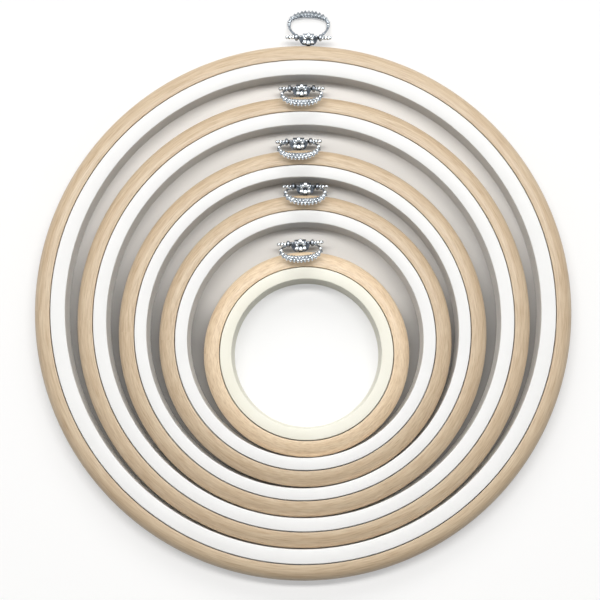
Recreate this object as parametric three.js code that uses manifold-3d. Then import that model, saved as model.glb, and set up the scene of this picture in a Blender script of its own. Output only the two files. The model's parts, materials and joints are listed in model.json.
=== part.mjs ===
// Five round embroidery hoops of graded sizes, lying nested in one another with their hangers at the top.
// Each hoop is a rigid inner ring, a flexible vinyl outer ring that snaps over it, and a small cast hanger:
// a shell-shaped base with a crown, a twisted hinge bar, a wreath-shaped bail and the screw that holds them.
// Millimetres. Z is up from the surface that the hoops lie on, and the hangers point towards +Y.
import * as THREE from "three";
import { mergeVertices } from "three/addons/utils/BufferGeometryUtils.js";
import Module from "manifold-3d";

const wasm = await Module();
wasm.setup();

// Hoops, numbered from 1, the largest, to 5, the smallest
const SMALLEST_RADIUS = 37.4; // outer edge of hoop 5's vinyl ring
const FACE_1 = 5.2; // flat front of each hoop's inner ring
const FACE_2 = 4.7;
const FACE_3 = 4.2;
const FACE_4 = 4.3;
const FACE_5 = 4.1;
const ROOM_2 = 2.45; // left above each hoop's hanger inside the next larger hoop
const ROOM_3 = 3.65;
const ROOM_4 = 1.25;
const ROOM_5 = 5.25;

// turn: how far a hoop is turned. touch: where it touches the next larger hoop, from -Y towards +X. Degrees.
const HOOPS = [
  { face: FACE_1, turn: -1.1 },
  { face: FACE_2, room: ROOM_2, turn: 0.5, touch: 3 },
  { face: FACE_3, room: ROOM_3, turn: 1.2, touch: -5 },
  { face: FACE_4, room: ROOM_4, turn: 0, touch: 19 },
  { face: FACE_5, room: ROOM_5, turn: 3.2, touch: 5 },
];

// Clearances
const SEAT_GAP = 0.3; // between the vinyl ring and the inner ring that it sits on
const NEST_GAP = 0.3; // between one hoop and the next where they touch
const PIVOT_GAP = 0.25; // round the hinge bar and the screw
const REST_GAP = 0.1; // under the bail that lies on the surface
const FACET_SAG = 0.17; // how far a ring's flat facets may lie inside its true circle
const MERGE = 0.02; // detail smaller than this is dropped where solids are joined

// Inner ring
const RING_DEPTH = 9.5; // from the back to the front face
const INNER_TAPER = 1.0; // how much further in its inner wall reaches at the back
const TAPER_HEIGHT = 4.6; // where the taper begins, up from the back
const FRONT_BREAK = 0.35; // softened edges of the front face
const LIP_WIDTH = 3.0; // lip behind the vinyl ring
const LIP_THICKNESS = 1.2;

// Vinyl outer ring, a D section with its round side outwards
const VINYL_WIDTH = 5.7;
const VINYL_SET_BACK = 0.3; // its front lies this far behind the inner ring's face
const VINYL_FLAT = 0.9; // flat beside the inner ring, before the round begins
const VINYL_BREAK = 0.4;
const ROUND_POINTS = 7;

// Hinge bar
const BAR_STAND_OFF = 3.1; // from the vinyl ring's outer edge to the bar's axis
const BAR_LENGTH = 17.0;
const BAR_THICKNESS = 1.24; // over the ridges
const BAR_PITCH = 1.6; // length of a quarter turn of the twist
const BAR_STEPS = 30;

// Cast base: a fluted shell below the bar, a crown above it, a barrel round it and a boss for the screw
const SHELL_LENGTH = 3.9;
const SHELL_SPREAD = 62; // degrees each side
const SHELL_THICKNESS = 0.7;
const SHELL_DOME = 0.55;
const FLUTES = 5;
const FLUTE_DEPTH = 0.32;
const BARREL_WALL = 0.6;
const BARREL_LENGTH = 4.2;
const BOSS_WALL = 0.4;
const CROWN_HEIGHT = 2.0; // above the bar's axis, in the plane of the hoop
const CROWN_HALF_WIDTH = 3.6;

// Screw that holds the base to the vinyl ring
const SCREW_RADIUS = 0.7;
const SCREW_HEAD_RADIUS = 1.7;
const SCREW_HEAD_THICKNESS = 0.8;
const SCREW_GRIP = 1.3; // how far it reaches into the base

// Bail: two thin arms that widen from their eyes to a pair of beads, and a scalloped wreath from bead to bead
const ARM_LENGTH = 7.2; // from the bar's axis to the beads
const ARM_THICKNESS = 0.9;
const BAIL_WIDTH = 15.8; // over the beads
const WREATH_LENGTH = 5.5; // from the beads to the far edge
const WREATH_BEND = 40; // degrees that the wreath is bent from the plane of the arms
const WREATH_WIDTH = 3.1; // across the wreath at its widest
const WREATH_THICKNESS = 1.3;
const SCALLOPS = 9;
const SCALLOP_DEPTH = 0.7;
const BEAD_RADIUS = 0.7;
const EYE_SPACING = 8.8;
const EYE_WIDTH = 1.1;
const EYE_WALL = 0.42;
const FOLDED_ANGLE = 114.5; // degrees of the smaller hoops' arms, from level outwards, over the top

// Sizes that follow from those above
const BAR_RADIUS = BAR_THICKNESS / 2;
const BAR_HOLE = BAR_RADIUS + PIVOT_GAP;
const SCREW_HOLE = SCREW_RADIUS + PIVOT_GAP;
const VINYL_BACK = LIP_THICKNESS + SEAT_GAP;
const VINYL_FRONT = RING_DEPTH - VINYL_SET_BACK;
const VINYL_MIDDLE = (VINYL_BACK + VINYL_FRONT) / 2;
const VINYL_ROUND = VINYL_WIDTH - VINYL_FLAT;
const VINYL_HALF_DEPTH = (VINYL_FRONT - VINYL_BACK) / 2;
const BAR_HEIGHT = VINYL_MIDDLE;
const EYE_RADIUS = BAR_HOLE + EYE_WALL;
const HANGER_REACH = BAR_STAND_OFF + CROWN_HEIGHT;

// Angle of the arms of a bail that has fallen outwards, so that its beads lie on the surface
const LYING_ANGLE = -THREE.MathUtils.radToDeg(
  Math.asin((BAR_HEIGHT - BEAD_RADIUS - REST_GAP) / ARM_LENGTH),
);

// Outer wall of the inner ring, inside a vinyl ring of a given outer radius
const fitRadius = (radius) => radius - VINYL_WIDTH - SEAT_GAP;

// Radius of a hoop's opening, in front of the taper
const openingRadius = ({ radius, face }) => fitRadius(radius) - face - FRONT_BREAK / 2;

// Gives each hoop the outer radius of its vinyl ring, from the smallest outwards. A hoop lies against the next
// larger one on the side away from its hanger, so that one's opening leaves room for the hanger.
function setRadii(hoops) {
  hoops.at(-1).radius = SMALLEST_RADIUS;
  for (let i = hoops.length - 2; i >= 0; i -= 1) {
    const inside = hoops[i + 1];
    const opening = inside.radius + (HANGER_REACH + NEST_GAP + inside.room) / 2;
    hoops[i].radius = opening + hoops[i].face + FRONT_BREAK / 2 + SEAT_GAP + VINYL_WIDTH;
  }
}

// Materials, one for each finish
const finish = (color, roughness, metalness = 0) =>
  new THREE.MeshStandardMaterial({ color, roughness, metalness });
const WHITE_PLASTIC = finish("#f6f6f2", 0.4);
const IVORY_PLASTIC = finish("#fbf6df", 0.4);
const WOOD_VINYL = finish("#dcbf94", 0.55);
const CAST_METAL = finish("#b9bfc4", 0.3, 1);

// Solids and meshes

function toSolid(geometry) {
  const bare = geometry.index ? geometry.toNonIndexed() : geometry.clone();
  bare.deleteAttribute("normal");
  bare.deleteAttribute("uv");
  const merged = mergeVertices(bare, 1e-3);
  return new wasm.Manifold(
    new wasm.Mesh({
      numProp: 3,
      vertProperties: merged.attributes.position.array,
      triVerts: new Uint32Array(merged.index.array),
    }),
  );
}

function toGeometry(solid) {
  const mesh = solid.simplify(MERGE).getMesh();
  const geometry = new THREE.BufferGeometry();
  geometry.setAttribute("position", new THREE.BufferAttribute(mesh.vertProperties, 3));
  geometry.setIndex(new THREE.BufferAttribute(mesh.triVerts, 1));
  geometry.computeVertexNormals();
  return geometry;
}

function joined(geometries) {
  return geometries.map(toSolid).reduce((whole, piece) => whole.add(piece));
}

// A closed skin over rings of points, each ring with as many points as the next. Seen from its last ring,
// the points of every ring run anticlockwise.
function skin(rings) {
  const around = rings[0].length;
  const points = rings.flat();
  const faces = [];
  for (let i = 0; i + 1 < rings.length; i += 1) {
    for (let j = 0; j < around; j += 1) {
      const a = i * around + j;
      const b = i * around + ((j + 1) % around);
      faces.push(a, b, b + around, a, b + around, a + around);
    }
  }
  const last = (rings.length - 1) * around;
  for (let j = 1; j + 1 < around; j += 1) {
    faces.push(0, j + 1, j, last, last + j, last + j + 1);
  }
  return new THREE.BufferGeometry().setFromPoints(points).setIndex(faces);
}

// A ring turned round Z from a closed profile of [radius, height] pairs
function turned(profile, steps) {
  const points = profile.map(([radius, height]) => new THREE.Vector2(radius, height));
  points.push(points[0]);
  return new THREE.LatheGeometry(points, steps).rotateX(Math.PI / 2);
}

const ringSteps = (radius) => 2 * Math.round((Math.PI * Math.sqrt(radius / (2 * FACET_SAG))) / 2);

// Rings

function innerRing(size) {
  const fit = fitRadius(size.radius);
  const opening = openingRadius(size);
  const profile = [
    [fit + LIP_WIDTH, 0],
    [fit + LIP_WIDTH, LIP_THICKNESS],
    [fit, LIP_THICKNESS],
    [fit, RING_DEPTH - FRONT_BREAK],
    [fit - FRONT_BREAK, RING_DEPTH],
    [opening + FRONT_BREAK / 2, RING_DEPTH],
    [opening, RING_DEPTH - FRONT_BREAK],
    [opening, TAPER_HEIGHT],
    [opening - INNER_TAPER, 0],
  ];
  return turned(profile, ringSteps(size.radius));
}

function outerRing({ radius }) {
  const inner = radius - VINYL_WIDTH;
  const profile = [
    [inner + VINYL_BREAK, VINYL_FRONT],
    [inner, VINYL_FRONT - VINYL_BREAK],
    [inner, VINYL_BACK],
  ];
  for (let i = 0; i < ROUND_POINTS; i += 1) {
    const angle = THREE.MathUtils.degToRad(-68 + (136 * i) / (ROUND_POINTS - 1));
    profile.push([
      inner + VINYL_FLAT + VINYL_ROUND * Math.cos(angle),
      VINYL_MIDDLE + VINYL_HALF_DEPTH * Math.sin(angle),
    ]);
  }
  const ring = toSolid(turned(profile, ringSteps(radius)));
  return toGeometry(ring.subtract(screwHole(inner)));
}

// The hole for the screw, with a recess for its head in the ring's inner wall
function screwHole(inner) {
  const recess = SCREW_HEAD_THICKNESS + 2 * PIVOT_GAP;
  const shank = radialPin(SCREW_HOLE, inner - 1, inner + VINYL_WIDTH + 1);
  const head = radialPin(SCREW_HEAD_RADIUS + PIVOT_GAP, inner - 1, inner + recess);
  return joined([shank, head]);
}

// A round pin along Y at the bar's height, from one distance to another
function radialPin(radius, from, to) {
  const pin = new THREE.CylinderGeometry(radius, radius, to - from, 10);
  return pin.translate(0, (from + to) / 2, BAR_HEIGHT);
}

// Hanger, drawn in its own frame: the vinyl ring's outer edge is at y = 0

function hingeBar() {
  const rings = [];
  for (let i = 0; i <= BAR_STEPS; i += 1) {
    const x = (i / BAR_STEPS - 0.5) * BAR_LENGTH;
    const twist = ((x / BAR_PITCH) * Math.PI) / 2;
    const ring = [];
    for (let j = 0; j < 4; j += 1) {
      const angle = twist + (j * Math.PI) / 2;
      ring.push(new THREE.Vector3(x, BAR_RADIUS * Math.cos(angle), BAR_RADIUS * Math.sin(angle)));
    }
    rings.push(ring);
  }
  return skin(rings).translate(0, BAR_STAND_OFF, BAR_HEIGHT);
}

// The fluted shell, a fan that spreads from above the bar down to the vinyl ring
function shell() {
  const apex = SEAT_GAP + SHELL_LENGTH;
  const back = BAR_HEIGHT + BAR_HOLE;
  const columns = 2 * FLUTES;
  const rings = [];
  for (let i = 0; i <= columns; i += 1) {
    const angle = THREE.MathUtils.degToRad(SHELL_SPREAD * ((2 * i) / columns - 1));
    const ridge = i % 2;
    const edge = SHELL_LENGTH - (1 - ridge) * FLUTE_DEPTH;
    const front = back + SHELL_THICKNESS - (1 - ridge) * FLUTE_DEPTH;
    const at = (distance, height) =>
      new THREE.Vector3(distance * Math.sin(angle), apex - distance * Math.cos(angle), height);
    rings.push([
      at(SHELL_LENGTH * 0.12, front),
      at(edge * 0.6, front + SHELL_DOME),
      at(edge, front - FLUTE_DEPTH / 2),
      at(edge, back - SHELL_THICKNESS / 2),
      at(SHELL_LENGTH * 0.12, back - SHELL_THICKNESS / 2),
    ]);
  }
  return skin(rings);
}

// The crown, five lobes of which the middle one is tallest
function crown() {
  const lobes = [];
  for (let i = -2; i <= 2; i += 1) {
    const share = 1 - Math.abs(i) / 3;
    const lobe = new THREE.SphereGeometry(1, 6, 4);
    lobe.scale(0.95, CROWN_HEIGHT * 0.5 * (0.6 + 0.4 * share), 0.75 + 0.15 * share);
    const top = BAR_STAND_OFF + CROWN_HEIGHT * (0.45 + 0.55 * share);
    lobe.translate(
      (i / 2) * (CROWN_HALF_WIDTH - 0.95),
      top - CROWN_HEIGHT * 0.5 * (0.6 + 0.4 * share),
      BAR_HEIGHT + BAR_HOLE + 0.2,
    );
    lobes.push(lobe);
  }
  return lobes;
}

function hangerBase() {
  const barrel = new THREE.CylinderGeometry(
    BAR_HOLE + BARREL_WALL,
    BAR_HOLE + BARREL_WALL,
    BARREL_LENGTH,
    10,
  );
  barrel.rotateZ(Math.PI / 2).translate(0, BAR_STAND_OFF, BAR_HEIGHT);
  const boss = radialPin(SCREW_HOLE + BOSS_WALL, SEAT_GAP, BAR_STAND_OFF - BAR_HOLE / 2);
  const hole = new THREE.CylinderGeometry(BAR_HOLE, BAR_HOLE, 3 * CROWN_HALF_WIDTH, 10);
  hole.rotateZ(Math.PI / 2).translate(0, BAR_STAND_OFF, BAR_HEIGHT);
  const socket = radialPin(SCREW_HOLE, -1, SEAT_GAP + SCREW_GRIP + PIVOT_GAP);
  const body = joined([shell(), barrel, boss, ...crown()]);
  return toGeometry(body.subtract(toSolid(hole)).subtract(toSolid(socket)));
}

function fixingScrew() {
  const headOuter = -VINYL_WIDTH + PIVOT_GAP;
  const headInner = headOuter + SCREW_HEAD_THICKNESS;
  const profile = [
    [0, headOuter],
    [SCREW_HEAD_RADIUS, headOuter],
    [SCREW_HEAD_RADIUS, headInner],
    [SCREW_RADIUS, headInner],
    [SCREW_RADIUS, SEAT_GAP + SCREW_GRIP],
    [0, SEAT_GAP + SCREW_GRIP],
  ];
  const points = profile.map(([radius, along]) => new THREE.Vector2(radius, along));
  return new THREE.LatheGeometry(points, 8).translate(0, 0, BAR_HEIGHT);
}

// Bail, drawn in its own frame: the bar's axis is X, the arms reach along +Y and the wreath is bent towards +Z

// Stations along the bail's middle line, from one eye over the wreath to the other. A station's angle is taken
// on an oval whose sides are at the beads: below them the oval is the arms, above them the wreath.
function bailStations(opening) {
  const armSteps = 4;
  const stations = [];
  for (let i = 0; i < armSteps; i += 1) {
    stations.push({ angle: -opening + (opening * i) / armSteps });
  }
  for (let i = 0; i <= 2 * SCALLOPS; i += 1) {
    stations.push({ angle: (Math.PI * i) / (2 * SCALLOPS), valley: i % 2 === 0 });
  }
  for (let i = 1; i <= armSteps; i += 1) {
    stations.push({ angle: Math.PI + (opening * i) / armSteps });
  }
  return stations;
}

function bail() {
  const halfWidth = BAIL_WIDTH / 2 - BEAD_RADIUS;
  const opening = Math.acos(EYE_SPACING / 2 / halfWidth);
  const armHeight = (ARM_LENGTH - EYE_RADIUS * 0.8) / Math.sin(opening);
  const wreathHeight = WREATH_LENGTH - WREATH_WIDTH / 2;
  const bend = THREE.MathUtils.degToRad(WREATH_BEND);
  const rings = bailStations(opening).map(({ angle, valley }) => {
    const rise = Math.sin(angle);
    const onWreath = rise > 1e-6;
    const height = onWreath ? wreathHeight : armHeight;
    const lean = onWreath ? bend : rise > -1e-6 ? bend / 2 : 0;
    const share = onWreath ? rise ** 1.2 : 0;
    const across = (ARM_THICKNESS + share * (WREATH_WIDTH - ARM_THICKNESS)) / 2;
    const deep = (ARM_THICKNESS + share * (WREATH_THICKNESS - ARM_THICKNESS)) / 2;
    const outwards = new THREE.Vector2(Math.cos(angle) / halfWidth, rise / height).normalize();
    const ring = [];
    for (let j = 0; j < 6; j += 1) {
      const turn = (-j * Math.PI) / 3;
      const side = Math.cos(turn) * across;
      const reach = j === 0 && share > 0.1 && valley ? side - SCALLOP_DEPTH : side;
      const along = height * rise + outwards.y * reach;
      const off = Math.sin(turn) * deep;
      ring.push(
        new THREE.Vector3(
          halfWidth * Math.cos(angle) + outwards.x * reach,
          ARM_LENGTH + along * Math.cos(lean) - off * Math.sin(lean),
          along * Math.sin(lean) + off * Math.cos(lean),
        ),
      );
    }
    return ring;
  });
  const ends = [-1, 1].flatMap((side) => {
    const eye = new THREE.CylinderGeometry(EYE_RADIUS, EYE_RADIUS, EYE_WIDTH, 8);
    eye.rotateZ(Math.PI / 2).translate((side * EYE_SPACING) / 2, 0, 0);
    const bead = new THREE.SphereGeometry(BEAD_RADIUS, 8, 6).translate(side * halfWidth, ARM_LENGTH, 0);
    return [eye, bead];
  });
  const hole = new THREE.CylinderGeometry(BAR_HOLE, BAR_HOLE, 2 * BAIL_WIDTH, 8);
  hole.rotateZ(Math.PI / 2);
  return toGeometry(joined([skin(rings), ...ends]).subtract(toSolid(hole)));
}

// Assembly

function mesh(name, geometry, material) {
  geometry.computeVertexNormals();
  const made = new THREE.Mesh(geometry, material);
  made.name = name;
  return made;
}

function hanger(number, bailAngle) {
  const group = new THREE.Group();
  group.add(mesh(`hanger_base_${number}`, hangerBase(), CAST_METAL));
  group.add(mesh(`hinge_bar_${number}`, hingeBar(), CAST_METAL));
  group.add(mesh(`fixing_screw_${number}`, fixingScrew(), CAST_METAL));
  const loop = mesh(`bail_${number}`, bail(), CAST_METAL);
  loop.position.set(0, BAR_STAND_OFF, BAR_HEIGHT);
  loop.rotation.x = THREE.MathUtils.degToRad(bailAngle);
  group.add(loop);
  return group;
}

function hoop(number, size, plastic, bailAngle) {
  const group = new THREE.Group();
  group.add(mesh(`inner_ring_${number}`, innerRing(size), plastic));
  group.add(mesh(`outer_ring_${number}`, outerRing(size), WOOD_VINYL));
  const top = hanger(number, bailAngle);
  top.position.y = size.radius;
  group.add(top);
  return group;
}

// Each hoop after the first lies inside the one before, moved along until the two touch.
function nest() {
  setRadii(HOOPS);
  const group = new THREE.Group();
  const centre = new THREE.Vector2();
  HOOPS.forEach((size, i) => {
    if (i > 0) {
      const shift = openingRadius(HOOPS[i - 1]) - NEST_GAP - size.radius;
      const direction = THREE.MathUtils.degToRad(size.touch);
      centre.x += shift * Math.sin(direction);
      centre.y -= shift * Math.cos(direction);
    }
    const plastic = i === HOOPS.length - 1 ? IVORY_PLASTIC : WHITE_PLASTIC;
    const made = hoop(i + 1, size, plastic, i === 0 ? LYING_ANGLE : FOLDED_ANGLE);
    made.position.set(centre.x, centre.y, 0);
    made.rotation.z = THREE.MathUtils.degToRad(size.turn);
    group.add(made);
  });
  return group;
}

// The origin is the middle of the set's footprint, on the surface that it lies on.
const hoops = nest();
const footprint = new THREE.Box3().setFromObject(hoops, true).getCenter(new THREE.Vector3());
hoops.position.set(-footprint.x, -footprint.y, 0);

export default hoops;
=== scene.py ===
# Looks for five round embroidery hoops that lie nested in one another.
# Each hoop has a moulded inner ring, a wood-grained vinyl outer ring and a small cast hanger at its top.
# Lengths are written in millimetres and multiplied by MM, because the scene is in metres.
import json
import math

import bmesh
import bpy
from mathutils import Matrix, Vector

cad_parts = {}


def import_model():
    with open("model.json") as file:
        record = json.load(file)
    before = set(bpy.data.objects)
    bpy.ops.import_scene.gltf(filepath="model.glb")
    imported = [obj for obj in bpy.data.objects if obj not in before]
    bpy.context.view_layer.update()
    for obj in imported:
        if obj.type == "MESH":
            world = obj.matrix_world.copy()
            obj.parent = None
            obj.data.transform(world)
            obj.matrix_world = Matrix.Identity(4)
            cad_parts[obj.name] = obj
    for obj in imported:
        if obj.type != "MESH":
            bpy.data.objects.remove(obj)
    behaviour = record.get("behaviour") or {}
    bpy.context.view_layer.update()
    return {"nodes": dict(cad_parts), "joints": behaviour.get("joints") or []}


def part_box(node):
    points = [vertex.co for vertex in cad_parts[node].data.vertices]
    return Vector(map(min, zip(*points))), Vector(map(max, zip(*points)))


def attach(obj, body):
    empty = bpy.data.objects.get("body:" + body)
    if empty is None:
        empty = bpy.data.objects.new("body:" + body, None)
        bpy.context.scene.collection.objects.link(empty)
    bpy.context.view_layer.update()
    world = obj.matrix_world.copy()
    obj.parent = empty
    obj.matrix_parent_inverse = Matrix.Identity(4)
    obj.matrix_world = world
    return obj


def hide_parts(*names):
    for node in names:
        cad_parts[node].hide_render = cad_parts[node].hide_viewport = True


MM = 0.001
HOOP_COUNT = 5
NEARNESS = 0.01
MERGE_DISTANCE = 0.002

# Rings
RING_STEPS = 240
RING_DEPTH = 9.5
SEAT_GAP = 0.3
FACE_WIDTHS = (5.2, 4.7, 4.2, 4.3, 4.1)
FRONT_BREAK = 0.35
BACK_BREAK = 0.25
INNER_TAPER = 1.0
TAPER_HEIGHT = 4.6
LIP_WIDTH = 3.0
LIP_THICKNESS = 1.2
LIP_BREAK = 0.3
VINYL_WIDTH = 5.7
VINYL_FLAT = 0.9
VINYL_BACK = 1.5
VINYL_FRONT = 9.2
VINYL_BREAK = 0.45
VINYL_SKIN = 0.1
VINYL_POINTS = 56

# Hanger, in its own frame: Y points away from the ring, and y = 0 is the vinyl ring's outer edge
BAR_STAND_OFF = 3.1
BAR_LENGTH = 17.0
BAR_THICKNESS = 1.24
BAR_SIDE = 0.9 * BAR_THICKNESS
BAR_EDGE = 0.16
BAR_PITCH = 1.15
BAR_CUTS = 96
BAR_HOLE = 0.87
BAR_END = 0.5
BAR_BEAD_RADIUS = 0.68
BAR_BEAD_INSET = 0.62
SHELL_LENGTH = 3.9
RIBS = 5
RIB_SPREAD = 49.6
RIB_START = 2.15
RIB_WIDTH = 1.75
RIB_THICKNESS = 1.0
RIB_RISE = 0.3
RIB_FALL = 0.12
FACE_LEAN = 9
PLATE_MIDDLE = 2.35
PLATE_HALF_WIDTH = 3.25
PLATE_HALF_HEIGHT = 2.75
PLATE_TOP = 3.4
PLATE_THICKNESS = 0.7
CROWN_ROOT = 2.05
CROWN_FAN = 36
CROWN_RISE = 0.9
CROWN_LEAF_SIZES = (0.8, 0.95, 1.3, 0.95, 0.8)
BARREL_LENGTH = 4.2
BARREL_WALL = 0.6
BOSS_RADIUS = 1.35
SOCKET_DEPTH = 1.55
SCREW_HOLE = 0.95
SCREW_HEAD_HOLE = 1.95
SCREW_HEAD_DEPTH = 1.3
TURNED_STEPS = 28

# Bail: arms from the bar to a pair of beads, and a leafy wreath from bead to bead, bent from the arms' plane
ARM_LENGTH = 7.2
ARM_THICKNESS = 0.9
ARM_FLATNESS = 0.66
KNOB_RADIUS = 0.56
KNOB_PLACES = (0.85, 4.9)
BAIL_WIDTH = 15.8
WREATH_LENGTH = 5.5
WREATH_WIDTH = 3.1
WREATH_BEND = 40
LEAVES = 13
ROPE_LEAVES = 16
OUTER_BEADS = 15
MIDDLE_BEADS = 14
BEAD_RADIUS = 0.7
BEAD_FLATNESS = 0.8
BEAD_PLATING = 0.08
EYE_SPACING = 8.8
EYE_WIDTH = 1.1
EYE_RADIUS = 1.29
EYE_BREAK = 0.38
REST_GAP = 0.1
FOLDED_ANGLE = 114.5

# Finishes, each from its darker to its lighter colour. The grey and the dark cast metal are shaded copies of
# the bright one: painted shade
WHITE_PLASTIC = ((0.88, 0.88, 0.875), (0.91, 0.91, 0.905))
IVORY_PLASTIC = ((0.90, 0.88, 0.76), (0.93, 0.915, 0.81))
VINYL_COLOURS = ((0.28, (0.57, 0.42, 0.27)), (0.47, (0.70, 0.55, 0.38)), (0.68, (0.80, 0.655, 0.475)))
VINYL_SHADES = ((0.3, (0.92, 0.88, 0.84)), (0.7, (1.0, 1.0, 1.0)))
VINYL_TONE = 0.94
SMALLEST_VINYL_TONE = 1.2
BRIGHT_METAL = ((0.55, 0.6, 0.64), (0.86, 0.9, 0.93))
SHADED_GREY_METAL = ((0.26, 0.29, 0.33), (0.5, 0.54, 0.59))
SHADE_DARK_METAL = ((0.02, 0.024, 0.03), (0.07, 0.08, 0.095))
# Painted shade in recesses and where parts meet, partly patina: its colour, and how far the occlusion reaches
# in millimetres
RECESS_SHADE_COLOUR = (0.02, 0.026, 0.034)
RECESS_SHADE_REACH = 1.0

# Floor, its size in metres, and the two circles between which its board is seen, in millimetres
FLOOR_SIZE = 6
NEST_SHADE_RADIUS = 90
WINDOW_RADIUS = 30
FLOOR_SHADE = 0.6
FLOOR_GLOW = 0.38
FLOOR_BOUNCE = (0.38, 0.37, 0.35)
# Painted shade and light on the board: greyest at both sides, palest towards the hangers, and paler in the
# outermost gap
BOARD_SHADE_TONES = ((0.1, 0.27), (0.3, 0.37), (0.52, 0.64), (0.78, 0.8), (0.96, 0.86))
BOARD_TINT = (1.0, 0.98, 0.955)
OUTERMOST_GAP = (72, 84)
OUTERMOST_GAP_LIGHT = 1.25

# Lamps, their distance in metres, and the room's light
LAMP_DISTANCE = 2.4
SKY_IN_METAL = 0.28
ROOM_LIGHT = 0.09
ROOM_COLOUR = (0.94, 0.97, 1.0)

# Camera
CAMERA_DISTANCE = 1000
CAMERA_TILT = 5.0
CAMERA_AIM = (-1.14, -2.54, 0)
PIXELS_PER_MM = 2.735
IMAGE_SIZE = 600
SENSOR = 36

VINYL_MIDDLE = (VINYL_BACK + VINYL_FRONT) / 2
BAR_HEIGHT = VINYL_MIDDLE
CASTING_TOP = BAR_HEIGHT + BAR_HOLE
LYING_ANGLE = -math.degrees(math.asin((BAR_HEIGHT - BEAD_RADIUS - REST_GAP) / ARM_LENGTH))
BAIL_HALF_WIDTH = BAIL_WIDTH / 2 - BEAD_RADIUS


# Modelling helpers


def deselect_all():
    if bpy.context.mode != "OBJECT":
        bpy.ops.object.mode_set(mode="OBJECT")
    bpy.ops.object.select_all(action="DESELECT")


def activate(piece):
    deselect_all()
    piece.select_set(True)
    bpy.context.view_layer.objects.active = piece


def edit(piece):
    activate(piece)
    bpy.ops.object.mode_set(mode="EDIT")


def done():
    bpy.ops.object.mode_set(mode="OBJECT")
    return bpy.context.object


def apply_transform(piece):
    activate(piece)
    bpy.ops.object.transform_apply(location=True, rotation=True, scale=True)
    return piece


def apply_modifier(piece, kind, **settings):
    activate(piece)
    bpy.ops.object.modifier_add(type=kind)
    modifier = piece.modifiers[-1]
    for name, value in settings.items():
        setattr(modifier, name, value)
    bpy.ops.object.modifier_apply(modifier=modifier.name)
    return piece


def select_vertices(piece, test):
    """Selects the vertices whose places pass a test, in millimetres, while the piece is being edited."""
    mesh = bmesh.from_edit_mesh(piece.data)
    for vertex in mesh.verts:
        vertex.select_set(bool(test(vertex.co / MM)))
    mesh.select_flush(True)
    mesh.select_flush(False)
    bmesh.update_edit_mesh(piece.data)


def moved(piece, x=0.0, y=0.0, z=0.0, turn=(0, 0, 0), scale=(1, 1, 1)):
    """Scales a piece that was made at the origin, turns it by degrees and moves it by millimetres."""
    place = Matrix.Translation(Vector((x, y, z)) * MM)
    for axis, angle in zip("XYZ", turn):
        place @= Matrix.Rotation(math.radians(angle), 4, axis)
    piece.matrix_world = place @ Matrix.Diagonal((*scale, 1))
    return apply_transform(piece)


def copy_of(piece):
    activate(piece)
    bpy.ops.object.duplicate(linked=False)
    return bpy.context.object


def join(name, pieces):
    deselect_all()
    for piece in pieces:
        piece.select_set(True)
    bpy.context.view_layer.objects.active = pieces[0]
    bpy.ops.object.join()
    whole = bpy.context.object
    whole.name = name
    return whole


def smooth(piece, angle=35):
    activate(piece)
    bpy.ops.object.shade_smooth_by_angle(angle=math.radians(angle))
    return piece


def give(piece, material):
    piece.data.materials.clear()
    piece.data.materials.append(material)
    return piece


def tidy_surface():
    """Merges what lies at one place and turns all faces outwards."""
    bpy.ops.mesh.select_all(action="SELECT")
    bpy.ops.mesh.remove_doubles(threshold=MERGE_DISTANCE * MM)
    bpy.ops.mesh.normals_make_consistent(inside=False)


def slice_at(point, normal):
    """Cuts all that is being edited along a plane, without taking anything away."""
    bpy.ops.mesh.select_all(action="SELECT")
    bpy.ops.mesh.bisect(plane_co=tuple(part * MM for part in point), plane_no=normal)


def rectangle(low_x, high_x, low_z, high_z):
    """A flat rectangle that stands in the XZ plane, to be shaped into a section."""
    deselect_all()
    bpy.ops.mesh.primitive_plane_add(size=MM)
    piece = bpy.context.object
    return moved(
        piece,
        (low_x + high_x) / 2,
        0,
        (low_z + high_z) / 2,
        turn=(90, 0, 0),
        scale=(high_x - low_x, high_z - low_z, 1),
    )


def round_corners(piece, offset, test, segments=4):
    select_vertices(piece, test)
    bpy.ops.mesh.bevel(offset=offset * MM, affect="VERTICES", segments=segments)


def spin_section(steps, axis=(0, 0, 1)):
    """Spins the outline of the section that is being edited into a closed ring, round the origin."""
    bpy.ops.mesh.select_all(action="SELECT")
    bpy.ops.mesh.dissolve_faces(use_verts=False)
    bpy.ops.mesh.delete(type="ONLY_FACE")
    bpy.ops.mesh.select_all(action="SELECT")
    bpy.ops.mesh.spin(steps=steps, angle=math.tau, center=(0, 0, 0), axis=axis)
    tidy_surface()
    return done()


def near(value, target):
    return abs(value - target) < NEARNESS


# Rings


def inner_ring(outer_radius, face_width):
    """A rigid ring with a flat face, a lip behind the vinyl ring and a wall that tapers towards its back."""
    fit = outer_radius - VINYL_WIDTH - SEAT_GAP
    opening = fit - face_width - FRONT_BREAK / 2
    piece = rectangle(opening, fit, 0, RING_DEPTH)
    edit(piece)
    for height in (LIP_THICKNESS, TAPER_HEIGHT):
        slice_at((0, 0, height), (0, 0, 1))
    select_vertices(piece, lambda v: near(v.x, fit) and v.z < LIP_THICKNESS + NEARNESS)
    bpy.ops.mesh.extrude_region_move(TRANSFORM_OT_translate={"value": (LIP_WIDTH * MM, 0, 0)})
    for height in (0, LIP_THICKNESS):
        select_vertices(piece, lambda v: near(v.x, opening) and near(v.z, height))
        bpy.ops.transform.translate(value=(INNER_TAPER * (height / TAPER_HEIGHT - 1) * MM, 0, 0))
    round_corners(piece, FRONT_BREAK, lambda v: near(v.z, RING_DEPTH))
    round_corners(piece, LIP_BREAK, lambda v: v.x > fit + LIP_WIDTH / 2)
    round_corners(piece, BACK_BREAK, lambda v: v.x < opening - INNER_TAPER / 2)
    return smooth(spin_section(RING_STEPS), 40)


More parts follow.
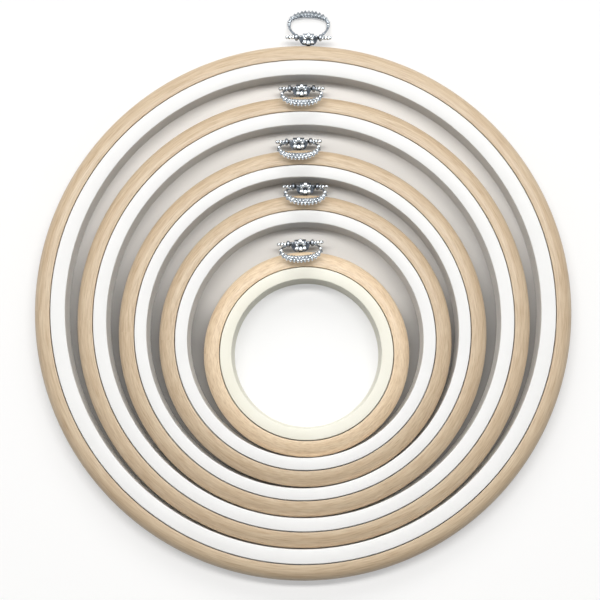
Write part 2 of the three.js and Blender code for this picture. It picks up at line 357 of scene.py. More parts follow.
def outer_ring(outer_radius):
    """A flexible ring with a section like a D, round outwards and flat where it grips the inner ring."""
    inner = outer_radius - VINYL_WIDTH
    middle = inner + VINYL_FLAT
    half_depth = (VINYL_FRONT - VINYL_BACK) / 2
    deselect_all()
    bpy.ops.mesh.primitive_circle_add(vertices=VINYL_POINTS, radius=MM, fill_type="NGON")
    piece = moved(
        bpy.context.object,
        middle,
        0,
        VINYL_MIDDLE,
        turn=(90, 0, 0),
        scale=(VINYL_WIDTH - VINYL_FLAT - VINYL_SKIN, half_depth, 1),
    )
    edit(piece)
    select_vertices(piece, lambda v: v.x < middle - 5 * NEARNESS)
    pivot = (middle * MM, 0, VINYL_MIDDLE * MM)
    bpy.ops.transform.resize(value=(0, 1, 1), center_override=pivot)
    bpy.ops.transform.translate(value=(-VINYL_FLAT * MM, 0, 0))
    edge = half_depth * math.cos(math.tau / VINYL_POINTS) - 2 * NEARNESS
    on_flat = inner + 10 * NEARNESS
    round_corners(piece, VINYL_BREAK, lambda v: v.x < on_flat and abs(v.z - VINYL_MIDDLE) > edge)
    return smooth(cut_screw_hole(spin_section(RING_STEPS), inner), 35)


def cut_screw_hole(ring, inner):
    """Cuts the hole for the hanger's screw, and the recess for its head in the inner wall."""
    shank = cylinder(SCREW_HOLE, inner - 1, inner + VINYL_WIDTH + 1)
    head = cylinder(SCREW_HEAD_HOLE, inner - 1, inner + SCREW_HEAD_DEPTH)
    for cutter in (shank, head):
        ring = apply_modifier(ring, "BOOLEAN", operation="DIFFERENCE", object=cutter, solver="EXACT")
        bpy.data.objects.remove(cutter)
    return ring


def cylinder(radius, start, end):
    """A round bar along Y at the hinge bar's height, for cutting."""
    deselect_all()
    bpy.ops.mesh.primitive_cylinder_add(vertices=24, radius=radius * MM, depth=(end - start) * MM)
    return moved(bpy.context.object, 0, (start + end) / 2, BAR_HEIGHT, turn=(90, 0, 0))


# Hanger


def sleeve(inner_radius, outer_radius, length, edge=0.15):
    """A short tube along X, centred on the origin, with rounded rims."""
    piece = rectangle(-length / 2, length / 2, inner_radius, outer_radius)
    edit(piece)
    round_corners(piece, edge, lambda v: v.z > inner_radius + 10 * NEARNESS, 3)
    return spin_section(TURNED_STEPS, (1, 0, 0))


def stretched(piece, width, length, thickness):
    """Brings a rounded piece to its three measures and sets its root on the origin."""
    activate(piece)
    low, high = (pick(v.co.y for v in piece.data.vertices) / MM for pick in (min, max))
    wide = max(v.co.x for v in piece.data.vertices) / MM
    deep = max(v.co.z for v in piece.data.vertices) / MM
    stretch = (width / 2 / wide, length / (high - low), thickness / 2 / deep)
    return moved(piece, 0, -low * stretch[1], 0, scale=stretch)


def petal(width, length, thickness, narrowing):
    """A rounded petal along Y from the origin. Its root is narrower than its tip."""
    deselect_all()
    bpy.ops.mesh.primitive_uv_sphere_add(segments=16, ring_count=12, radius=MM)
    piece = moved(bpy.context.object, turn=(90, 0, 0))
    apply_modifier(piece, "SIMPLE_DEFORM", deform_method="TAPER", deform_axis="Y", factor=narrowing)
    return smooth(stretched(piece, width, length, thickness), 60)


def leaf(width, length, thickness):
    """A pointed leaf along Y from the origin, with a raised midrib on both faces."""
    midrib = 1.6
    point = 0.15
    deselect_all()
    bpy.ops.mesh.primitive_uv_sphere_add(segments=12, ring_count=10, radius=MM)
    piece = moved(bpy.context.object, turn=(90, 0, 0))
    edit(piece)
    select_vertices(piece, lambda v: abs(v.x) < 5 * NEARNESS)
    bpy.ops.transform.resize(value=(1, 1, midrib), center_override=(0, 0, 0))
    select_vertices(piece, lambda v: v.y > 1 - 2 * NEARNESS)
    bpy.ops.transform.translate(value=(0, point * MM, 0))
    piece = apply_modifier(done(), "SIMPLE_DEFORM", deform_method="TAPER", deform_axis="Y", factor=-0.5)
    return smooth(stretched(piece, width, length, thickness), 28)


def bead(radius, x, y, z, flatness=1.0):
    deselect_all()
    bpy.ops.mesh.primitive_uv_sphere_add(segments=16, ring_count=10, radius=radius * MM)
    return smooth(moved(bpy.context.object, x, y, z, scale=(1, 1, flatness)), 60)


def hinge_bar(bright):
    """A square bar with rounded edges, twisted along its length, with a bead on each end."""
    deselect_all()
    bpy.ops.mesh.primitive_cube_add(size=MM)
    piece = moved(bpy.context.object, scale=(BAR_LENGTH - 2 * BAR_END, BAR_SIDE, BAR_SIDE))
    edit(piece)
    bpy.ops.mesh.select_all(action="SELECT")
    bpy.ops.mesh.bevel(offset=BAR_EDGE * MM, segments=2, affect="EDGES")
    for i in range(1, BAR_CUTS):
        slice_at(((i / BAR_CUTS - 0.5) * (BAR_LENGTH - 3 * BAR_END), 0, 0), (1, 0, 0))
    tidy_surface()
    piece = done()
    twist = math.tau * BAR_LENGTH / (4 * BAR_PITCH)
    apply_modifier(piece, "SIMPLE_DEFORM", deform_method="TWIST", deform_axis="X", angle=twist)
    end = BAR_LENGTH / 2 - BAR_BEAD_INSET
    ends = [bead(BAR_BEAD_RADIUS, side * end, 0, 0) for side in (-1, 1)]
    whole = join("hinge_bar", [smooth(piece, 40), *ends])
    return give(moved(whole, 0, BAR_STAND_OFF, BAR_HEIGHT), bright)


def hanger_base(bright, grey, dark):
    """The shell's ribs below the bar, the crown above it, the barrel round it and the screw's boss."""
    shine = join("shine", [give(part, bright) for part in (*shell_ribs(), *crown_leaves())])
    barrel = moved(sleeve(BAR_HOLE, BAR_HOLE + BARREL_WALL, BARREL_LENGTH), 0, BAR_STAND_OFF, BAR_HEIGHT)
    # The barrel and the scrolls take the grey metal, painted shade
    plain = [give(part, grey) for part in (*side_scrolls(), smooth(barrel, 40))]
    # The plate behind the ribs and the boss take the dark metal: painted shade of the shell's hollows
    backs = [give(part, dark) for part in (shell_back(), smooth(screw_boss(), 40))]
    return join("hanger_base", [shine, *plain, *backs])


def shell_ribs():
    """The shell's ribs, which spread below the bar and end in round tips beside the vinyl ring."""
    apex = SEAT_GAP + SHELL_LENGTH
    pattern = petal(RIB_WIDTH, SHELL_LENGTH - RIB_START, RIB_THICKNESS, narrowing=0.25)
    middle = (RIBS - 1) // 2
    ribs = []
    for place in range(-middle, middle + 1):
        angle = math.radians(RIB_SPREAD * place / middle)
        ribs.append(
            moved(
                copy_of(pattern),
                RIB_START * math.sin(angle),
                apex - RIB_START * math.cos(angle),
                CASTING_TOP + RIB_RISE - RIB_FALL * place**2,
                turn=(-FACE_LEAN, 0, 180 + math.degrees(angle)),
                scale=(0.8, 0.75, 0.9) if abs(place) == middle else (1, 1.12, 1),
            )
        )
    bpy.data.objects.remove(pattern)
    return ribs


def crown_leaves():
    """Round leaves that fan out across the bar, the middle one largest and highest."""
    pattern = petal(width=1.4, length=1.65, thickness=1.2, narrowing=0.5)
    side_reach = 0.7
    reach = 0.5
    fall = 0.12
    leaves = []
    for place, size in enumerate(CROWN_LEAF_SIZES, -(len(CROWN_LEAF_SIZES) // 2)):
        angle = math.radians(CROWN_FAN * place)
        leaves.append(
            moved(
                copy_of(pattern),
                side_reach * math.sin(angle),
                CROWN_ROOT + reach * math.cos(angle),
                CASTING_TOP + CROWN_RISE - fall * abs(place),
                turn=(-FACE_LEAN, 0, -CROWN_FAN * place),
                scale=(size, size, 1),
            )
        )
    bpy.data.objects.remove(pattern)
    return leaves


def side_scrolls():
    """Small round scrolls that close the base at both sides of the crown, from the bar down."""
    scrolls = []
    for side in (-1, 1):
        scrolls.append(bead(radius=0.6, x=side * 2.85, y=BAR_STAND_OFF + 0.1, z=CASTING_TOP + 0.05))
        scrolls.append(bead(radius=0.5, x=side * 3.1, y=BAR_STAND_OFF - 0.7, z=CASTING_TOP - 0.1))
        scrolls.append(bead(radius=0.45, x=side * 2.35, y=BAR_STAND_OFF - 1.45, z=CASTING_TOP - 0.2))
    return scrolls


def shell_back():
    """The plain rounded plate behind the shell's ribs, straight where it meets the vinyl ring."""
    deselect_all()
    bpy.ops.mesh.primitive_cylinder_add(vertices=48, radius=MM, depth=PLATE_THICKNESS * MM)
    oval = (PLATE_HALF_WIDTH, PLATE_HALF_HEIGHT, 1)
    piece = moved(bpy.context.object, 0, PLATE_MIDDLE, CASTING_TOP + 0.05, scale=oval)
    piece = cut_across(cut_across(piece, PLATE_TOP, False), SEAT_GAP / 2, True)
    return smooth(piece, 30)


def screw_boss():
    """A short blind tube along Y that the screw reaches into."""
    piece = rectangle(SEAT_GAP, BAR_STAND_OFF - BAR_HOLE / 2, 0, BOSS_RADIUS)
    edit(piece)
    socket_end = SEAT_GAP + SOCKET_DEPTH
    slice_at((socket_end, 0, 0), (1, 0, 0))
    slice_at((0, 0, SCREW_HOLE), (0, 0, 1))
    select_vertices(piece, lambda v: v.x < socket_end + NEARNESS and v.z < SCREW_HOLE + NEARNESS)
    bpy.ops.mesh.delete(type="FACE")
    boss = spin_section(TURNED_STEPS, (1, 0, 0))
    return moved(boss, 0, 0, BAR_HEIGHT, turn=(0, 0, 90))


# Bail, in its own frame: X is the bar's axis and the arms reach along Y


def loop_tube(half_width, half_height, middle, radius, side_share, flatness=1.0):
    """A round tube along the bail's oval, thickest at its far end."""
    deselect_all()
    bpy.ops.curve.primitive_bezier_circle_add(radius=MM)
    curve = bpy.context.object
    curve.data.resolution_u = 24
    curve.data.bevel_depth = radius * MM
    curve.data.bevel_resolution = 4
    bpy.ops.object.mode_set(mode="EDIT")
    bpy.ops.curve.select_all(action="SELECT")
    bpy.ops.transform.resize(value=(half_width, half_height, 1), center_override=(0, 0, 0))
    bpy.ops.object.mode_set(mode="OBJECT")
    for point in curve.data.splines[0].bezier_points:
        point.radius = 1.0 if point.co.y > half_height * MM / 2 else side_share
    bpy.ops.object.convert(target="MESH")
    piece = bpy.context.object
    return smooth(moved(piece, 0, middle, 0, scale=(1, 1, flatness)), 60)


def cut_across(piece, y, keep_far):
    """Cuts a piece square to Y and closes the cut, keeping its far or its near side."""
    edit(piece)
    bpy.ops.mesh.select_all(action="SELECT")
    bpy.ops.mesh.bisect(
        plane_co=(0, y * MM, 0),
        plane_no=(0, 1, 0),
        clear_inner=keep_far,
        clear_outer=not keep_far,
        use_fill=True,
    )
    tidy_surface()
    return done()


def oval_places(half_width, half_height, count, start):
    """Evenly spaced places on an oval's upper half, from start degrees: x, y and which way is outward."""
    steps = 600
    angles = [math.radians(start + (180 - 2 * start) * i / steps) for i in range(steps + 1)]
    points = [(half_width * math.cos(a), half_height * math.sin(a)) for a in angles]
    lengths = [0.0]
    for before, after in zip(points, points[1:]):
        lengths.append(lengths[-1] + math.dist(before, after))
    places = []
    for i in range(count):
        wanted = lengths[-1] * i / (count - 1)
        k = min(range(steps + 1), key=lambda n: abs(lengths[n] - wanted))
        outward = math.atan2(math.sin(angles[k]) / half_height, math.cos(angles[k]) / half_width)
        places.append((*points[k], math.degrees(outward)))
    return places


def wreath_leaves(count, half_height, width, length, thickness, lean, height):
    """Leaves along an oval, leaning from both sides towards the middle one, which stands straight."""
    pattern = leaf(width, length, thickness)
    leaves = []
    for i, (x, y, outward) in enumerate(oval_places(BAIL_HALF_WIDTH - 0.25, half_height, count, start=8)):
        side = 2 * i / (count - 1) - 1
        size = 1 - 0.4 * abs(side) ** 3
        turn = (0, 0, outward - 90 - lean * side)
        leaves.append(moved(copy_of(pattern), x, y, height, turn=turn, scale=(size, size, 1)))
    bpy.data.objects.remove(pattern)
    return leaves


def wreath_beads(count, half_height, radius, height):
    """A row of small beads along an oval."""
    pattern = bead(radius, 0, 0, 0, BEAD_FLATNESS)
    beads = []
    for x, y, _ in oval_places(BAIL_HALF_WIDTH - 0.1, half_height, count, start=4):
        beads.append(moved(copy_of(pattern), x, y, height))
    bpy.data.objects.remove(pattern)
    return beads


def wreath(bright, grey):
    """The crescent from bead to bead: leaves in front, beads behind and a rope of leaves along the inside."""
    inside = WREATH_LENGTH - WREATH_WIDTH
    band = loop_tube(BAIL_HALF_WIDTH - 0.1, inside + 0.65, 0, radius=0.5, side_share=0.9, flatness=0.85)
    back = loop_tube(BAIL_HALF_WIDTH, inside + 1.35, 0, radius=1.05, side_share=0.45, flatness=0.3)
    ground = [cut_across(tube, 0, True) for tube in (band, back)]
    ground += wreath_leaves(
        LEAVES + 1, inside + 0.6, width=1.0, length=1.3, thickness=0.95, lean=34, height=0.25
    )
    details = wreath_leaves(
        LEAVES, inside + 0.65, width=1.5, length=2.45, thickness=1.05, lean=26, height=0.18
    )
    details += wreath_leaves(
        ROPE_LEAVES, inside + 0.05, width=0.85, length=1.4, thickness=1.2, lean=55, height=0
    )
    details += wreath_beads(OUTER_BEADS, inside + 2.2, radius=0.53, height=-0.12)
    details += wreath_beads(MIDDLE_BEADS, inside + 1.2, radius=0.52, height=-0.2)
    # The band and the back behind the leaves take the grey metal, painted shade
    shine = [give(part, bright) for part in details]
    whole = join("wreath", [*shine, *(give(part, grey) for part in ground)])
    return moved(whole, 0, ARM_LENGTH, 0, turn=(WREATH_BEND, 0, 0))


def arms(bright, grey):
    """Two thin arms with small knobs, the beads at their far ends and the eyes on the bar."""
    near_end = EYE_RADIUS * 0.8
    opening = math.acos(EYE_SPACING / 2 / BAIL_HALF_WIDTH)
    arm_height = (ARM_LENGTH - near_end) / math.sin(opening)
    radius = ARM_THICKNESS / 2
    pair = loop_tube(BAIL_HALF_WIDTH, arm_height, ARM_LENGTH, radius, side_share=1.0, flatness=ARM_FLATNESS)
    pair = cut_across(cut_across(pair, near_end, True), ARM_LENGTH, False)
    # The arms, knobs and eyes take the grey metal, painted shade
    parts = [give(pair, grey)]
    for side in (-1, 1):
        for below in KNOB_PLACES:
            x = side * BAIL_HALF_WIDTH * math.sqrt(1 - (below / arm_height) ** 2)
            parts.append(give(bead(KNOB_RADIUS, x, ARM_LENGTH - below, 0), grey))
        end_bead = bead(BEAD_RADIUS + BEAD_PLATING, side * BAIL_HALF_WIDTH, ARM_LENGTH, 0)
        parts.append(give(end_bead, bright))
        eye = sleeve(BAR_HOLE, EYE_RADIUS, EYE_WIDTH, EYE_BREAK)
        parts.append(give(smooth(moved(eye, side * EYE_SPACING / 2, 0, 0), 40), grey))
    return parts


def bail(bright, grey):
    return join("bail", [*arms(bright, grey), wreath(bright, grey)])


# Materials


def add_node(tree, kind, x, y, **settings):
    """Adds a node. Each setting goes to the input of that name, or else to the node itself."""
    node = tree.nodes.new(kind)
    node.location = (x, y)
    for name, value in settings.items():
        if name in node.inputs:
            node.inputs[name].default_value = value
        else:
            setattr(node, name, value)
    return node


def new_group(name, inputs, outputs):
    """An empty node group. inputs and outputs are (name, socket kind, default) and (name, socket kind)."""
    group = bpy.data.node_groups.new(name, "ShaderNodeTree")
    for title, kind, default in inputs:
        socket = group.interface.new_socket(title, in_out="INPUT", socket_type=kind)
        if default is not None:
            socket.default_value = default
    for title, kind in outputs:
        group.interface.new_socket(title, in_out="OUTPUT", socket_type=kind)
    start = add_node(group, "NodeGroupInput", -900, 0)
    end = add_node(group, "NodeGroupOutput", 700, 0)
    return group, start, end


def surface_grain_group():
    """Fine unevenness that every moulded or cast surface has: a tint mask and a height."""
    group, start, end = new_group(
        "surface_grain",
        [
            ("Vector", "NodeSocketVector", None),
            ("Patch Scale", "NodeSocketFloat", 40.0),
            ("Grain Scale", "NodeSocketFloat", 2500.0),
        ],
        [("Patches", "NodeSocketFloat"), ("Height", "NodeSocketFloat")],
    )
    patches = add_node(group, "ShaderNodeTexNoise", -500, 150, Detail=3.0, Roughness=0.6)
    grain = add_node(group, "ShaderNodeTexNoise", -500, -150, Detail=2.0, Roughness=0.5)
    link = group.links.new
    link(start.outputs["Vector"], patches.inputs["Vector"])
    link(start.outputs["Patch Scale"], patches.inputs["Scale"])
    link(start.outputs["Vector"], grain.inputs["Vector"])
    link(start.outputs["Grain Scale"], grain.inputs["Scale"])
    link(patches.outputs["Fac"], end.inputs["Patches"])
    link(grain.outputs["Fac"], end.inputs["Height"])
    return group


def wood_grain_group():
    """Streaks round a ring, as masks from dark to light and a height. Vector starts at the ring's centre."""
    group, start, end = new_group(
        "wood_grain",
        [("Vector", "NodeSocketVector", None), ("Streaks", "NodeSocketFloat", 1.0)],
        [
            ("Streak Mask", "NodeSocketFloat"),
            ("Broad Mask", "NodeSocketFloat"),
            ("Height", "NodeSocketFloat"),
        ],
    )
    link = group.links.new
    split = add_node(group, "ShaderNodeSeparateXYZ", -720, 0)
    link(start.outputs["Vector"], split.inputs[0])
    angle = add_node(group, "ShaderNodeMath", -540, 150, operation="ARCTAN2")
    link(split.outputs["Y"], angle.inputs[0])
    link(split.outputs["X"], angle.inputs[1])
    flat = add_node(group, "ShaderNodeCombineXYZ", -540, -100)
    link(split.outputs["X"], flat.inputs["X"])
    link(split.outputs["Y"], flat.inputs["Y"])
    radius = add_node(group, "ShaderNodeVectorMath", -380, -100, operation="LENGTH")
    link(flat.outputs[0], radius.inputs[0])
    # Metres across the grain, and only a slow change along it, so that the streaks are long and thin
    along = add_node(group, "ShaderNodeMath", -380, 150, operation="MULTIPLY")
    along.inputs[1].default_value = 0.0045
    link(angle.outputs[0], along.inputs[0])
    place = add_node(group, "ShaderNodeCombineXYZ", -200, 50)
    link(radius.outputs["Value"], place.inputs["X"])
    link(along.outputs[0], place.inputs["Y"])
    link(split.outputs["Z"], place.inputs["Z"])
    fine = add_node(group, "ShaderNodeTexNoise", 0, 200, Scale=2600.0, Detail=4.0, Roughness=0.6)
    broad = add_node(group, "ShaderNodeTexNoise", 0, -100, Scale=520.0, Detail=3.0, Roughness=0.5)
    for texture in (fine, broad):
        link(place.outputs[0], texture.inputs["Vector"])
    strength = add_node(group, "ShaderNodeMath", 220, 200, operation="MULTIPLY")
    link(fine.outputs["Fac"], strength.inputs[0])
    link(start.outputs["Streaks"], strength.inputs[1])
    link(strength.outputs[0], end.inputs["Streak Mask"])
    link(broad.outputs["Fac"], end.inputs["Broad Mask"])
    link(fine.outputs["Fac"], end.inputs["Height"])
    return group


def new_material(name):
    material = bpy.data.materials.new(name)
    material.use_nodes = True
    tree = material.node_tree
    shader = tree.nodes["Principled BSDF"]
    return material, tree, shader


def centred_coordinates(tree, centre):
    """Object coordinates moved so that they start from a hoop's own centre."""
    coordinates = add_node(tree, "ShaderNodeTexCoord", -1300, 0)
    mapping = add_node(tree, "ShaderNodeMapping", -1100, 0)
    mapping.inputs["Location"].default_value = -centre
    tree.links.new(coordinates.outputs["Object"], mapping.inputs["Vector"])
    return mapping.outputs["Vector"]


def colour_ramp(tree, x, y, stops):
    """A colour ramp through stops, each a position and a colour."""
    ramp = add_node(tree, "ShaderNodeValToRGB", x, y)
    elements = ramp.color_ramp.elements
    elements[0].position, elements[0].color = stops[0][0], (*stops[0][1], 1)
    elements[1].position, elements[1].color = stops[-1][0], (*stops[-1][1], 1)
    for position, colour in stops[1:-1]:
        elements.new(position).color = (*colour, 1)
    return ramp


def vary_roughness(tree, shader, mask, low, high):
    """Lets the roughness follow a mask, from low to high."""
    rough = add_node(tree, "ShaderNodeMapRange", -550, -80)
    rough.inputs["To Min"].default_value = low
    rough.inputs["To Max"].default_value = high
    tree.links.new(mask, rough.inputs["Value"])
    tree.links.new(rough.outputs["Result"], shader.inputs["Roughness"])


def raise_surface(tree, shader, height, strength, distance):
    """Turns a height into a fine relief, its distance in millimetres."""
    bump = add_node(tree, "ShaderNodeBump", -300, -350, Strength=strength, Distance=distance * MM)
    tree.links.new(height, bump.inputs["Height"])
    tree.links.new(bump.outputs["Normal"], shader.inputs["Normal"])


def moulded_plastic(name, centre, colours, grain):
    """Satin plastic, a little uneven in tone and gloss."""
    material, tree, shader = new_material(name)
    link = tree.links.new
    vector = centred_coordinates(tree, centre)
    surface = add_node(tree, "ShaderNodeGroup", -850, 0, node_tree=grain)
    surface.inputs["Patch Scale"].default_value = 45
    surface.inputs["Grain Scale"].default_value = 3000
    link(vector, surface.inputs["Vector"])
    colour = colour_ramp(tree, -550, 200, tuple(zip((0.35, 0.65), colours)))
    link(surface.outputs["Patches"], colour.inputs["Fac"])
    link(colour.outputs["Color"], shader.inputs["Base Color"])
    vary_roughness(tree, shader, surface.outputs["Patches"], low=0.34, high=0.46)
    raise_surface(tree, shader, surface.outputs["Height"], strength=0.12, distance=0.04)
    shader.inputs["IOR"].default_value = 1.49
    return material


def grained_vinyl(name, centre, wood, tone):
    """Satin vinyl with a printed grain of light and dark streaks."""
    material, tree, shader = new_material(name)
    link = tree.links.new
    vector = centred_coordinates(tree, centre)
    grain = add_node(tree, "ShaderNodeGroup", -850, 0, node_tree=wood)
    link(vector, grain.inputs["Vector"])
    toned = [(position, tuple(tone * channel for channel in shade)) for position, shade in VINYL_COLOURS]
    colour = colour_ramp(tree, -550, 250, toned)
    link(grain.outputs["Streak Mask"], colour.inputs["Fac"])
    broad = colour_ramp(tree, -550, 0, VINYL_SHADES)
    link(grain.outputs["Broad Mask"], broad.inputs["Fac"])
    tint = add_node(tree, "ShaderNodeMix", -280, 200, data_type="RGBA", blend_type="MULTIPLY")
    tint.inputs["Factor"].default_value = 1.0
    link(colour.outputs["Color"], tint.inputs["A"])
    link(broad.outputs["Color"], tint.inputs["B"])
    link(tint.outputs["Result"], shader.inputs["Base Color"])
    vary_roughness(tree, shader, grain.outputs["Streak Mask"], low=0.26, high=0.42)
    raise_surface(tree, shader, grain.outputs["Height"], strength=0.25, distance=0.05)
    return material


def cast_metal(name, colours, roughness, grain):
    """Cast metal, darker where the casting is deep: painted shade in its recesses and where parts meet,
    partly standing for patina in its hollows.
    """
    material, tree, shader = new_material(name)
    link = tree.links.new
    coordinates = add_node(tree, "ShaderNodeTexCoord", -1100, 0)
    surface = add_node(tree, "ShaderNodeGroup", -850, 0, node_tree=grain)
    surface.inputs["Patch Scale"].default_value = 700
    surface.inputs["Grain Scale"].default_value = 4200
    link(coordinates.outputs["Object"], surface.inputs["Vector"])
    colour = colour_ramp(tree, -600, 250, tuple(zip((0.35, 0.6), colours)))
    link(surface.outputs["Patches"], colour.inputs["Fac"])
    # Painted shade: the occlusion darkens the colour in recesses and where parts meet, which partly stands
    # for patina in the hollows
    depth = add_node(tree, "ShaderNodeAmbientOcclusion", -850, 450, samples=12, Distance=RECESS_SHADE_REACH * MM)
    shade_ramp = colour_ramp(tree, -600, 500, ((0.45, (0, 0, 0)), (0.94, (1, 1, 1))))
    link(depth.outputs["AO"], shade_ramp.inputs["Fac"])
    patina_and_shade = add_node(tree, "ShaderNodeMix", -280, 300, data_type="RGBA")
    link(shade_ramp.outputs["Color"], patina_and_shade.inputs["Factor"])
    patina_and_shade.inputs["A"].default_value = (*RECESS_SHADE_COLOUR, 1)
    link(colour.outputs["Color"], patina_and_shade.inputs["B"])
    link(patina_and_shade.outputs["Result"], shader.inputs["Base Color"])
    vary_roughness(tree, shader, surface.outputs["Height"], low=roughness - 0.06, high=roughness + 0.08)
    raise_surface(tree, shader, surface.outputs["Height"], strength=0.35, distance=0.06)
    shader.inputs["Metallic"].default_value = 1.0
    return material


# Stage


def camera():
    """The photograph's view: almost straight down, from a metre away."""
    data = bpy.data.cameras.new("camera")
    data.sensor_width = SENSOR
    data.lens = PIXELS_PER_MM * CAMERA_DISTANCE * SENSOR / IMAGE_SIZE
    data.clip_end = 100
    rig = bpy.data.objects.new("camera", data)
    bpy.context.scene.collection.objects.link(rig)
    tilt = math.radians(CAMERA_TILT)
    aim = Vector(CAMERA_AIM)
    rig.location = (aim + Vector((0, -math.sin(tilt), math.cos(tilt))) * CAMERA_DISTANCE) * MM
    rig.rotation_euler = (tilt, 0, 0)
    bpy.context.scene.camera = rig


def softbox(name, width, height, elevation, azimuth, energy, colour):
    """A rectangular area light, in metres, that faces the origin. Azimuth is counted from +Y towards +X."""
    data = bpy.data.lights.new(name, "AREA")
    data.shape = "RECTANGLE"
    data.size = width
    data.size_y = height
    data.energy = energy
    data.color = colour
    lamp = bpy.data.objects.new(name, data)
    bpy.context.scene.collection.objects.link(lamp)
    up = math.radians(elevation)
    around = math.radians(azimuth)
    lamp.location = (
        LAMP_DISTANCE * math.cos(up) * math.sin(around),
        LAMP_DISTANCE * math.cos(up) * math.cos(around),
        LAMP_DISTANCE * math.sin(up),
    )
    lamp.rotation_euler = Vector(lamp.location).to_track_quat("Z", "Y").to_euler()


def lights():
    """A high and a low light behind the hangers, and a weak one at each side."""
    softbox("high_light", 3.0, 0.4, elevation=73, azimuth=0, energy=46, colour=(1.0, 0.99, 0.97))
    softbox("low_light", 3.0, 1.0, elevation=36, azimuth=0, energy=26, colour=(1.0, 0.99, 0.97))
    softbox("left_light", 1.4, 1.4, elevation=32, azimuth=-90, energy=5.2, colour=(1.0, 0.99, 0.98))
    softbox("right_light", 1.4, 1.4, elevation=32, azimuth=90, energy=4.4, colour=(0.97, 0.985, 1.0))


def from_centre(tree, centre, row):
    """Where a place on the floor lies from a hoop's centre, and how far away."""
    vector = centred_coordinates(tree, centre)
    distance = add_node(tree, "ShaderNodeVectorMath", -900, row, operation="LENGTH")
    tree.links.new(vector, distance.inputs[0])
    return vector, distance.outputs["Value"]


def within(tree, distance, radius, row):
    """A mask that is 1 inside a circle, its radius in millimetres."""
    inside = add_node(tree, "ShaderNodeMath", -700, row, operation="LESS_THAN")
    inside.inputs[1].default_value = radius * MM
    tree.links.new(distance, inside.inputs[0])
    return inside.outputs[0]


def board_colour_and_shade(tree, vector, distance):
    """The board's grey with painted shade and light: palest towards the hangers and in the outermost gap,
    greyest at both sides.
    """
    link = tree.links.new
    outwards = add_node(tree, "ShaderNodeVectorMath", -900, 1000, operation="NORMALIZE")
    link(vector, outwards.inputs[0])
    upwards = add_node(tree, "ShaderNodeSeparateXYZ", -720, 1000)
    link(outwards.outputs[0], upwards.inputs[0])
    stops = [(at, tuple(tone * tint for tint in BOARD_TINT)) for at, tone in BOARD_SHADE_TONES]
    board = colour_ramp(tree, -540, 1000, stops)
    link(upwards.outputs["Y"], board.inputs["Fac"])
    # Painted light: the outermost gap is made paler
    outermost = add_node(tree, "ShaderNodeMapRange", -720, 1250)
    outermost.inputs["From Min"].default_value = OUTERMOST_GAP[0] * MM
    outermost.inputs["From Max"].default_value = OUTERMOST_GAP[1] * MM
    outermost.inputs["To Max"].default_value = OUTERMOST_GAP_LIGHT
    outermost.inputs["To Min"].default_value = 1.0
    link(distance, outermost.inputs["Value"])
    paler = add_node(tree, "ShaderNodeVectorMath", -350, 1000, operation="SCALE")
    link(board.outputs["Color"], paler.inputs[0])
    link(outermost.outputs["Result"], paler.inputs["Scale"])
    return paler.outputs[0]


def larger(tree, first, second, x, y):
    """The larger of two values."""
    chosen = add_node(tree, "ShaderNodeMath", x, y, operation="MAXIMUM")
    tree.links.new(first, chosen.inputs[0])
    tree.links.new(second, chosen.inputs[1])
    return chosen.outputs[0]


def floor(nest_centre, window_centre):
    """A plain pale floor, white round the hoops and inside the smallest one, and greyer in between, where a
    grey board carries painted shade and light.
    """
    deselect_all()
    bpy.ops.mesh.primitive_plane_add(size=FLOOR_SIZE, location=(0, 0, 0))
    plane = bpy.context.object
    plane.name = "floor"
    material, tree, shader = new_material("pale_floor")
    link = tree.links.new
    _, nest_distance = from_centre(tree, nest_centre, 0)
    vector, window_distance = from_centre(tree, window_centre, 300)
    between_hoops = add_node(tree, "ShaderNodeMath", -520, 150, operation="SUBTRACT")
    link(within(tree, nest_distance, NEST_SHADE_RADIUS, 0), between_hoops.inputs[0])
    link(within(tree, window_distance, WINDOW_RADIUS, 300), between_hoops.inputs[1])
    seen = add_node(tree, "ShaderNodeMix", -350, 150, data_type="RGBA")
    link(between_hoops.outputs[0], seen.inputs["Factor"])
    seen.inputs["A"].default_value = (FLOOR_SHADE, FLOOR_SHADE, FLOOR_SHADE, 1)
    link(board_colour_and_shade(tree, vector, window_distance), seen.inputs["B"])
    # These tones are for what is seen. The light that the floor throws back is weaker
    path = add_node(tree, "ShaderNodeLightPath", -700, 700)
    direct = larger(tree, path.outputs["Is Camera Ray"], path.outputs["Is Glossy Ray"], -500, 650)
    direct = larger(tree, direct, path.outputs["Is Transmission Ray"], -350, 650)
    shown = add_node(tree, "ShaderNodeMix", -180, 200, data_type="RGBA")
    link(direct, shown.inputs["Factor"])
    shown.inputs["A"].default_value = (*FLOOR_BOUNCE, 1)
    link(seen.outputs["Result"], shown.inputs["B"])
    link(shown.outputs["Result"], shader.inputs["Base Color"])
    whitened = add_node(tree, "ShaderNodeMix", -350, -150, data_type="FLOAT")
    link(between_hoops.outputs[0], whitened.inputs["Factor"])
    whitened.inputs["A"].default_value = FLOOR_GLOW
    whitened.inputs["B"].default_value = 0.0
    glow = add_node(tree, "ShaderNodeMath", -180, -150, operation="MULTIPLY")
    link(whitened.outputs["Result"], glow.inputs[0])
    link(direct, glow.inputs[1])
    link(glow.outputs[0], shader.inputs["Emission Strength"])
    shader.inputs["Emission Color"].default_value = (1, 1, 1, 1)
    shader.inputs["Roughness"].default_value = 0.7
    give(plane, material)


